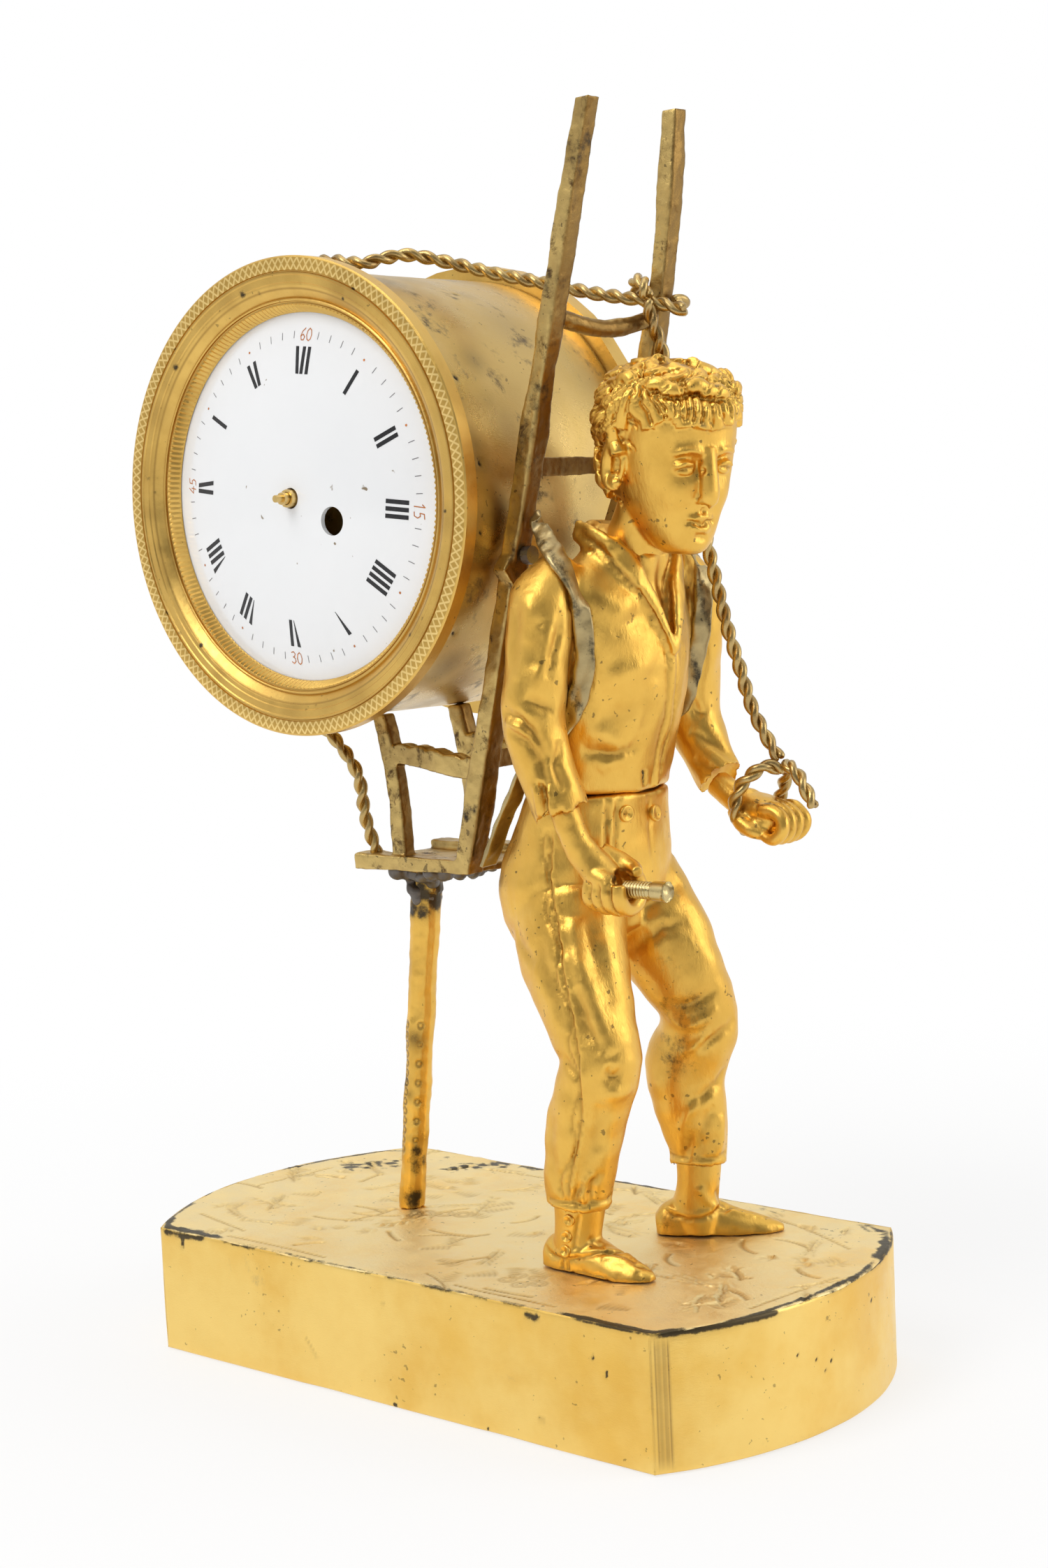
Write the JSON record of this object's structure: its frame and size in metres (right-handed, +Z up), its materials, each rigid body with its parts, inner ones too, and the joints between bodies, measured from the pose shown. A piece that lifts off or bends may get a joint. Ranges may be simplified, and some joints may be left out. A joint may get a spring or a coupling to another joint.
{
  "type": "figural mantel clock",
  "caption": "Gilt bronze mantel clock: a boy walks with a round drum clock roped to the pack frame on his back, on a low base with bowed ends.",
  "frame": {"origin": "centre of the base's underside", "axes": "+X the way the boy walks, -Y the side the dial faces, +Z up"},
  "size_m": [0.1928, 0.0972, 0.302],
  "materials": {
    "gilt_base": "gilt, satin",
    "gilt_bezel": "gilt, burnished",
    "figure_gilt": "gilt, burnished",
    "frame_bronze": "worn gilt, tarnished",
    "rope_bronze": "tarnished",
    "strap_bronze": "tarnished",
    "case_brass": "brushed, tarnished",
    "movement_brass": "satin",
    "enamel": "glossy",
    "steel": "polished"
  },
  "bodies": {
    "stand": {"base_top_plate": "gilt_base", "base_front_plate": "gilt_base", "base_rear_plate": "gilt_base", "base_end_plate_left": "gilt_base", "base_end_plate_right": "gilt_base", "base_corner_block_1": "movement_brass", "base_corner_block_2": "movement_brass", "base_corner_block_3": "movement_brass", "base_corner_block_4": "movement_brass", "column_nut": "steel", "right_shoe_nut": "steel", "left_shoe_nut": "steel", "support_column": "frame_bronze", "near_side_frame": "frame_bronze", "far_side_frame": "frame_bronze", "shelf_plate": "frame_bronze", "back_rail": "frame_bronze", "neck_rail": "frame_bronze", "upper_cross_bar": "frame_bronze", "strap_screw": "steel", "case_body": "case_brass", "front_bezel": "gilt_bezel", "rear_ring": "gilt_bezel", "door_hinge_pin": "steel", "enamel_dial": "enamel", "dial_plate": "movement_brass", "front_plate": "movement_brass", "back_plate": "movement_brass", "case_strap_upper": "steel", "case_strap_lower": "steel", "back_cock": "movement_brass", "jacket": "figure_gilt", "right_sleeve": "figure_gilt", "left_sleeve": "figure_gilt", "head": "figure_gilt", "trousers": "figure_gilt", "right_hand": "figure_gilt", "left_hand": "figure_gilt", "right_shoe": "figure_gilt", "left_shoe": "figure_gilt", "held_stump": "figure_gilt", "right_shoulder_strap": "strap_bronze", "left_shoulder_strap": "strap_bronze", "lower_strap": "strap_bronze", "drum_rope": "rope_bronze", "hand_rope": "rope_bronze", "rope_knot": "rope_bronze", "hand_loop": "rope_bronze"},
    "centre": {"centre_wheel": "movement_brass"},
    "barrel": {"mainspring_barrel": "movement_brass"},
    "third": {"third_wheel": "movement_brass"},
    "minute": {"minute_wheel": "movement_brass"},
    "hour": {"hour_wheel": "movement_brass"},
    "fourth": {"fourth_wheel": "movement_brass"},
    "escape": {"escape_wheel": "steel"},
    "winding": {"winding_arbor": "steel"},
    "click": {"ratchet_click": "steel"},
    "pendulum": {"pallets_and_pendulum_rod": "steel", "pendulum_bob": "movement_brass"},
    "door": {"rear_door": "case_brass"}
  },
  "joints": [
    {"name": "centre_spin", "type": "hinge", "parent": "stand", "child": "centre", "pos_m": [-0.0332, 0, 0.2168], "axis": [0, 1, 0], "continuous": true},
    {"name": "barrel_spin", "type": "hinge", "parent": "stand", "child": "barrel", "pos_m": [-0.0199, 0, 0.21075], "axis": [0, 1, 0], "continuous": true},
    {"name": "third_spin", "type": "hinge", "parent": "stand", "child": "third", "pos_m": [-0.04363, 0, 0.22282], "axis": [0, 1, 0], "continuous": true},
    {"name": "minute_spin", "type": "hinge", "parent": "stand", "child": "minute", "pos_m": [-0.04103, 0, 0.21228], "axis": [0, 1, 0], "continuous": true},
    {"name": "hour_spin", "type": "hinge", "parent": "stand", "child": "hour", "pos_m": [-0.0332, 0, 0.2168], "axis": [0, 1, 0], "continuous": true},
    {"name": "fourth_spin", "type": "hinge", "parent": "stand", "child": "fourth", "pos_m": [-0.04081, 0, 0.23335], "axis": [0, 1, 0], "continuous": true},
    {"name": "escape_spin", "type": "hinge", "parent": "stand", "child": "escape", "pos_m": [-0.0332, 0, 0.23683], "axis": [0, 1, 0], "continuous": true},
    {"name": "winding_spin", "type": "hinge", "parent": "stand", "child": "winding", "pos_m": [-0.0199, 0, 0.21075], "axis": [0, 1, 0], "continuous": true},
    {"name": "click_swing", "type": "hinge", "parent": "stand", "child": "click", "pos_m": [-0.01001, 0, 0.21428], "axis": [0, 1, 0], "range_deg": [-12, 0], "stiffness_Nm_per_rad": 0.002, "springref_deg": 5.73},
    {"name": "pendulum_swing", "type": "hinge", "parent": "stand", "child": "pendulum", "pos_m": [-0.0332, 0, 0.24422], "axis": [0, 1, 0], "range_deg": [-3, 3]},
    {"name": "door_swing", "type": "hinge", "parent": "stand", "child": "door", "pos_m": [-0.0869, 0.0407, 0.2168], "axis": [0, 0, 1], "range_deg": [0, 110]}
  ],
  "couplings": [
    {"joint": "barrel_spin", "follows": "centre_spin", "ratio": -0.16667},
    {"joint": "third_spin", "follows": "centre_spin", "ratio": -9},
    {"joint": "minute_spin", "follows": "centre_spin", "ratio": -0.33333},
    {"joint": "hour_spin", "follows": "centre_spin", "ratio": 0.083333},
    {"joint": "escape_spin", "follows": "fourth_spin", "ratio": -7}
  ]
}
